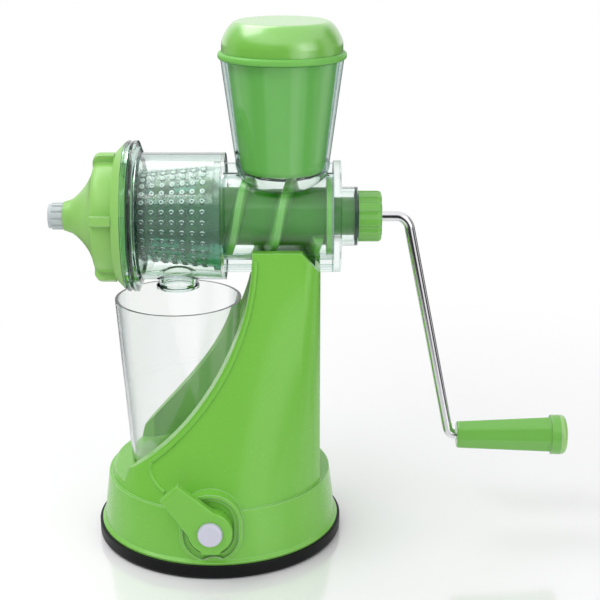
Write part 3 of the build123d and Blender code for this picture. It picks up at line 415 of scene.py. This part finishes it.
# ---------------------------------------------------------------- tints, painted light and painted shade
# where each tint begins and where it is full
CREST_SPAN = (BARREL_INSIDE - 5.5 * MM, BARREL_INSIDE - 1.5 * MM)   # out from the axis
RING_SPAN = (-38.5 * MM, -42.5 * MM)                                # along the axis
# where the strainer's painted shade begins and is full
TEAL_SPAN = (AXIS_HEIGHT + 21 * MM, AXIS_HEIGHT + 11 * MM)          # above the floor
# the pips' top rows and their painted shade
DRY_SPAN = (AXIS_HEIGHT + 13 * MM, AXIS_HEIGHT + 21 * MM)           # above the floor
FILM_SPAN = (0.65, 0.15)                                            # how far a face looks up
SCUFF_SCALE = 320.0             # fineness of the ragged edge of the crests' painted light
SCUFF_DEPTH = 1.6 * MM          # how far that ragged edge reaches down a flight


def tint(tree, share, first, second):
    """The piece's colour runs from the first to the second."""
    colour = mix_colour(tree, share, first, second)
    tree.links.new(colour, tree.nodes["effect"].inputs["Colour"])


def tint_auger_crests():
    """Painted light and shade: the crests of the screw's flights are painted paler than the darker
    core between them, with a ragged edge.
    """
    tree = auger_green.node_tree
    place = object_place(tree)
    centred = vector_node(tree, "SUBTRACT", place, (0, 0, AXIS_HEIGHT))
    reach = vector_node(tree, "LENGTH", vector_node(tree, "MULTIPLY", centred, (0, 1, 1)))
    rub = math_node(tree, "MULTIPLY", noise(tree, place, SCUFF_SCALE, detail=3.0), SCUFF_DEPTH)
    crest = smooth_range(tree, math_node(tree, "ADD", reach, rub), *CREST_SPAN)
    tint(tree, crest, AUGER_GREEN, CREST_GREEN)


def tint_mouth_ring():
    """The housing's thick mouth ring looks deeper in colour than its thin walls."""
    tree = housing_clear.node_tree
    thick = smooth_range(tree, axis_part(tree, object_place(tree), "X"), *RING_SPAN)
    tint(tree, thick, CLEAR, CLEAR_RING)


def tint_strainer():
    """Painted shade: the strainer is clear on top and is painted deep teal towards the bottom,
    where the dark screw lies behind it.
    """
    tree = strainer_clear.node_tree
    deep = smooth_range(tree, axis_part(tree, object_place(tree), "Z"), *TEAL_SPAN)
    tint(tree, deep, STRAINER_PALE, STRAINER_TEAL)


def tint_pips():
    """Painted light and shade: the rims round the holes are pale where they face up and dark where
    they face down, and plain pale on the top rows.
    """
    tree = pip_plastic.node_tree
    facing = add_node(tree, "ShaderNodeNewGeometry").outputs["Normal"]
    film = smooth_range(tree, axis_part(tree, facing, "Z"), *FILM_SPAN)
    filmed = mix_colour(tree, film, PIP_PALE, PIP_DEEP)
    dry = smooth_range(tree, axis_part(tree, object_place(tree), "Z"), *DRY_SPAN)
    tint(tree, dry, filmed, PIP_TOP)


tint_auger_crests()
tint_mouth_ring()
tint_strainer()
tint_pips()

node_materials = {
    "suction_cup": black_rubber,
    "stand_body": green_gloss,
    "base_plate": green_shade,
    "base_screws": steel,
    "cup_post": white_nut,
    "suction_lever": green_gloss,
    "cam_shaft": steel,
    "lever_screw": steel,
    "lever_button": white_button,
    "juicer_housing": housing_clear,
    "saddle_screws": steel,
    "strainer": strainer_clear,
    "strainer_gasket": black_rubber,
    "end_cap": cap_green,
    "pulp_nut": white_nut,
    "auger": auger_green,
    "shaft_insert": steel,
    "thrust_washer": white_nut,
    "shaft_seal": seal_rubber,
    "drive_nut": handle_green,
    "crank_rod": chrome,
    "grip_clip": steel,
    "grip": handle_green,
    "grip_cap": grip_end_green,
    "pusher_body": pusher_green,
    "pusher_lid": lid_green,
    "glass": catch_glass,
}
for name, material in node_materials.items():
    mesh = nodes[name].data
    mesh.materials.clear()
    mesh.materials.append(material)


# ---------------------------------------------------------------- new pieces
def finish_piece(name, mesh, body, material):
    """A smooth object for this mesh that rides on the body."""
    piece = bpy.data.objects.new(name, mesh)
    bpy.context.scene.collection.objects.link(piece)
    mesh.materials.append(material)
    for face in mesh.polygons:
        face.use_smooth = True
    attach(piece, body)


# outside of the strainer's cone, at its left end and at its right end
CONE_LEFT, CONE_RIGHT = -41.6 * MM, 4.0 * MM
CONE_LEFT_RADIUS, CONE_RIGHT_RADIUS = 23.9 * MM, 28.7 * MM
CONE_SLOPE = math.atan2(CONE_RIGHT_RADIUS - CONE_LEFT_RADIUS, CONE_RIGHT - CONE_LEFT)
FIRST_COLUMN = -38.4 * MM       # middle of the holes nearest the mouth
COLUMN_PITCH = 5.5 * MM
COLUMNS = 7
HOLES_ROUND = 30
RIM_RADIUS = 0.98 * MM          # from a hole's middle to the middle of its rim
RIM_THICKNESS = 0.64 * MM       # radius of the rim's own section
RIM_SECTION_SIDES = 6
RIM_STEPS = 12
WELD_DISTANCE = 0.02 * MM


def make_strainer_rim():
    """A ring that stands round one hole, with the hole's axis up."""
    rim = bmesh.new()
    section = bmesh.ops.create_circle(rim, segments=RIM_SECTION_SIDES, radius=RIM_THICKNESS)
    section = section["verts"]
    upright = Matrix.Rotation(math.pi / 2, 3, "X")
    bmesh.ops.rotate(rim, verts=section, cent=(0, 0, 0), matrix=upright)
    bmesh.ops.translate(rim, verts=section, vec=(RIM_RADIUS, 0, 0))
    bmesh.ops.spin(
        rim,
        geom=rim.verts[:] + rim.edges[:],
        cent=(0, 0, 0),
        axis=(0, 0, 1),
        angle=math.tau,
        steps=RIM_STEPS,
        use_merge=True,
    )
    bmesh.ops.remove_doubles(rim, verts=rim.verts[:], dist=WELD_DISTANCE)
    bmesh.ops.recalc_face_normals(rim, faces=rim.faces[:])
    mesh = bpy.data.meshes.new("strainer_rim")
    rim.to_mesh(mesh)
    rim.free()
    return mesh


def add_strainer_pips():
    """A small raised rim round each of the strainer's holes."""
    rim = make_strainer_rim()
    lean = Matrix.Rotation(-CONE_SLOPE, 4, "Y")
    axis = Matrix.Translation((0, 0, AXIS_HEIGHT))
    pips = bmesh.new()
    for column in range(COLUMNS):
        along = FIRST_COLUMN + column * COLUMN_PITCH
        reach = CONE_LEFT_RADIUS + (along - CONE_LEFT) * math.tan(CONE_SLOPE)
        for hole in range(HOLES_ROUND):
            turn = Matrix.Rotation(hole * math.tau / HOLES_ROUND, 4, "X")
            place = axis @ turn @ Matrix.Translation((along, 0, reach)) @ lean
            start = len(pips.verts)
            pips.from_mesh(rim)
            pips.verts.ensure_lookup_table()
            bmesh.ops.transform(pips, matrix=place, verts=pips.verts[start:])
    mesh = bpy.data.meshes.new("strainer_pips")
    pips.to_mesh(mesh)
    pips.free()
    finish_piece("strainer_pips", mesh, "stand", pip_plastic)


# the bead seen from the front, in millimetres to the right of the foot's middle and up
SCOOP_CORNERS = ((-63.6, 38.5), (-22.0, 68.0), (21.0, 112.0), (21.0, 172.0))
SCOOP_INSET = (2.0, -1.4)       # from the scooped edge to the bead
BEAD_TAIL = ((-35.2, 56.5), (-35.6, 53.0), (-33.8, 49.6), (-30.5, 46.6), (-27.0, 44.4))
BEAD_STEPS = 46                 # points down the scoop before the tail
BEAD_TOP = 0.985                # where the first lies on the scoop's curve
BEAD_STEP = 0.0172              # from one point to the next on that curve
BEAD_RADIUS = 1.2 * MM
BEAD_ROUNDING = 3               # steps in a quarter of the bead's section
WELL_OUTSIDE = 0.2              # beside the stand, from where its wall is felt for


def flat_points(pairs):
    """These pairs of millimetres as places in metres."""
    return [Vector(pair) * MM for pair in pairs]


def bead_line():
    """The bead's points seen from the front, from the top down."""
    corners = flat_points(SCOOP_CORNERS)
    inset = Vector(SCOOP_INSET) * MM
    line = []
    for step in range(BEAD_STEPS):
        t = BEAD_TOP - step * BEAD_STEP
        weights = ((1 - t) ** 3, 3 * t * (1 - t) ** 2, 3 * t * t * (1 - t), t ** 3)
        line.append(sum((c * w for c, w in zip(corners, weights)), Vector((0, 0))) + inset)
    return line + flat_points(BEAD_TAIL)


def add_scoop_bead():
    """The raised line beside the stand's scooped edge, that turns down towards the lever."""
    line = bead_line()
    shell = bmesh.new()
    shell.from_mesh(nodes["stand_body"].data)
    surface = BVHTree.FromBMesh(shell)
    shell.free()
    for side, name in ((-1, "scoop_bead_front"), (1, "scoop_bead_back")):
        curve = bpy.data.curves.new(name, "CURVE")
        curve.dimensions = "3D"
        curve.bevel_depth = BEAD_RADIUS
        curve.bevel_resolution = BEAD_ROUNDING
        curve.use_fill_caps = True
        inwards = Vector((0, -side, 0))
        points = []
        for spot in line:
            hit = surface.ray_cast(Vector((spot.x, side * WELL_OUTSIDE, spot.y)), inwards)[0]
            if hit is not None:
                points.append(hit)
        spline = curve.splines.new("NURBS")
        spline.points.add(len(points) - 1)
        for point, hit in zip(spline.points, points):
            point.co = (*hit, 1)
        spline.order_u = 3
        spline.use_endpoint_u = True
        form = bpy.data.objects.new(name + "_line", curve)
        mesh = bpy.data.meshes.new_from_object(form)
        bpy.data.objects.remove(form)
        mesh.name = name
        finish_piece(name, mesh, "stand", green_gloss)


add_strainer_pips()
add_scoop_bead()

# ---------------------------------------------------------------- floor
FLOOR_RADIUS = 4.0
FLOOR_SIDES = 96
FLOOR_ROUGHNESS = 0.1
FLOOR_INDEX = 2.0
SHADE_CENTRE = (0.10, 0.02, 0)  # the floor keeps its own shade round this point,
NEAR_FLOOR = 0.14               # inside this radius,
FAR_FLOOR = 0.46                # and is plain white beyond this one

floor_mesh = bpy.data.meshes.new("studio_floor")
floor_shape = bmesh.new()
bmesh.ops.create_circle(floor_shape, cap_ends=True, segments=FLOOR_SIDES, radius=FLOOR_RADIUS)
floor_shape.to_mesh(floor_mesh)
floor_shape.free()
floor = bpy.data.objects.new("studio_floor", floor_mesh)
bpy.context.scene.collection.objects.link(floor)

floor_paint, tree, shader = start_material("studio_floor_paint")
floor_inputs = {"Base Color": FLOOR_WHITE, "Roughness": FLOOR_ROUGHNESS, "IOR": FLOOR_INDEX}
set_inputs(shader, floor_inputs)
path = tree.nodes.new("ShaderNodeLightPath").outputs
seen = math_node(tree, "MAXIMUM", path["Is Camera Ray"], path["Is Transmission Ray"])
offset = vector_node(tree, "SUBTRACT", object_place(tree), SHADE_CENTRE)
distance = vector_node(tree, "LENGTH", offset)
fade = smooth_range(tree, distance, NEAR_FLOOR, FAR_FLOOR)
glow = add_node(tree, "ShaderNodeEmission", {"Color": WHITE, "Strength": 1.0})
white_share = math_node(tree, "MULTIPLY", fade, seen)
surface = mix_shader(tree, white_share, shader.outputs["BSDF"], glow.outputs["Emission"])
# reflections of the far floor show the room instead
clear_share = math_node(tree, "MULTIPLY", fade, path["Is Glossy Ray"])
gap = add_node(tree, "ShaderNodeBsdfTransparent").outputs["BSDF"]
surface = mix_shader(tree, clear_share, surface, gap)
tree.links.new(surface, tree.nodes["Material Output"].inputs["Surface"])
floor_mesh.materials.append(floor_paint)

# ---------------------------------------------------------------- studio light
SCREENS = (                     # degrees round from the camera, brightness
    (-150, 0.10), (-142, 0.30), (-100, 0.35), (-88, 0.04), (14, 0.04), (22, 1.0), (46, 1.0),
    (54, 0.04), (82, 0.04), (90, 0.60), (110, 0.55), (118, 0.04), (142, 0.04), (150, 0.10),
)
# parts of a direction of length 1, where each white or dark field begins and is full
OVERHEAD_SPAN = (0.50, 0.62)    # upwards
BACKDROP_SPAN = (0.5, 0.8)      # away from the camera
HORIZON_SPAN = (-0.12, -0.04)   # upwards
STRIP_SPAN = (0.50, 0.64)       # to either side
STRIP_END_SPAN = (0.84, 0.95)
ROOM_LIGHT = 0.60               # strength of the room's light on the pieces
SEEN_LIGHT = 1.0                # its strength where the room itself is seen
OBJECT_MIDDLE = (0.04, 0, 0.15)  # what the soft boxes face

world = bpy.data.worlds.new("studio_world")
bpy.context.scene.world = world
world.use_nodes = True
tree = world.node_tree
direction = add_node(tree, "ShaderNodeTexCoord").outputs["Generated"]
parts = add_node(tree, "ShaderNodeSeparateXYZ", {0: direction}).outputs
# what metal and gloss see: a dark room with white screens round it, and white overhead and
# behind the object
towards_camera = math_node(tree, "MULTIPLY", parts["Y"], -1.0)
turn = math_node(tree, "ARCTAN2", parts["X"], towards_camera)
turn = math_node(tree, "DIVIDE", turn, math.tau)
turn = math_node(tree, "ADD", turn, 0.5)
screens = tree.nodes.new("ShaderNodeValToRGB")
tree.links.new(turn, screens.inputs["Fac"])
ramp = screens.color_ramp
while len(ramp.elements) > 1:
    ramp.elements.remove(ramp.elements[-1])
for number, (degrees, level) in enumerate(SCREENS):
    at = degrees / 360 + 0.5
    stop = ramp.elements[0] if number == 0 else ramp.elements.new(at)
    stop.position = at
    stop.color = (level, level, level, 1)
overhead = smooth_range(tree, parts["Z"], *OVERHEAD_SPAN)
behind = smooth_range(tree, parts["Y"], *BACKDROP_SPAN)
above = smooth_range(tree, parts["Z"], *HORIZON_SPAN)
backdrop = math_node(tree, "MULTIPLY", behind, above)
white_field = math_node(tree, "MAXIMUM", overhead, backdrop)
gloss_room = mix_colour(tree, white_field, screens.outputs["Color"], WHITE)
# what clear pieces see: white, with a dark strip standing at each side
sideways = math_node(tree, "ABSOLUTE", parts["X"])
strip = smooth_range(tree, sideways, *STRIP_SPAN)
strip_end = smooth_range(tree, sideways, *STRIP_END_SPAN)
strip = math_node(tree, "SUBTRACT", strip, strip_end)
clear_room = mix_colour(tree, strip, WHITE, STRIP_DARK)
path = tree.nodes.new("ShaderNodeLightPath").outputs
room = mix_colour(tree, path["Is Glossy Ray"], WHITE, gloss_room)
room = mix_colour(tree, path["Is Transmission Ray"], room, clear_room)
seen = math_node(tree, "MAXIMUM", path["Is Glossy Ray"], path["Is Transmission Ray"])
seen = math_node(tree, "MAXIMUM", seen, path["Is Camera Ray"])
strength = smooth_range(tree, seen, 0.0, 1.0, ROOM_LIGHT, SEEN_LIGHT)
background = tree.nodes["Background"]
tree.links.new(room, background.inputs["Color"])
tree.links.new(strength, background.inputs["Strength"])


def soft_light(name, place, width, height, power, mirrored=True):
    """A soft box at place that faces the object; one that isn't mirrored leaves no highlight."""
    lamp = bpy.data.lights.new(name, "AREA")
    lamp.shape = "RECTANGLE"
    lamp.size = width
    lamp.size_y = height
    lamp.energy = power
    holder = bpy.data.objects.new(name, lamp)
    holder.location = place
    holder.visible_glossy = mirrored
    aim = Vector(OBJECT_MIDDLE) - Vector(place)
    holder.rotation_euler = aim.to_track_quat("-Z", "Y").to_euler()
    bpy.context.scene.collection.objects.link(holder)


soft_light("key_light", (-0.55, -0.50, 1.15), 1.1, 0.35, 5.2, mirrored=False)
soft_light("back_light", (-0.40, 0.30, 1.05), 1.0, 0.5, 4.2)
soft_light("fill_light", (0.95, -0.75, 0.55), 0.7, 0.9, 3.0)
soft_light("front_light", (-0.35, -1.10, 0.45), 1.8, 1.3, 2.2, mirrored=False)

# ---------------------------------------------------------------- camera
CAMERA_PLACE = (0.0468, -0.778, 0.3802)
CAMERA_PITCH = 17.3             # degrees below level
LENS = 87.0                     # millimetres on a frame of FRAME_WIDTH
FRAME_WIDTH = 36.0
camera = bpy.data.cameras.new("photo_camera")
camera.lens = LENS
camera.sensor_width = FRAME_WIDTH
camera_holder = bpy.data.objects.new("photo_camera", camera)
camera_holder.location = CAMERA_PLACE
camera_holder.rotation_euler = (math.radians(90 - CAMERA_PITCH), 0, 0)
bpy.context.scene.collection.objects.link(camera_holder)
bpy.context.scene.camera = camera_holder
bpy.context.scene.view_settings.view_transform = "Standard"
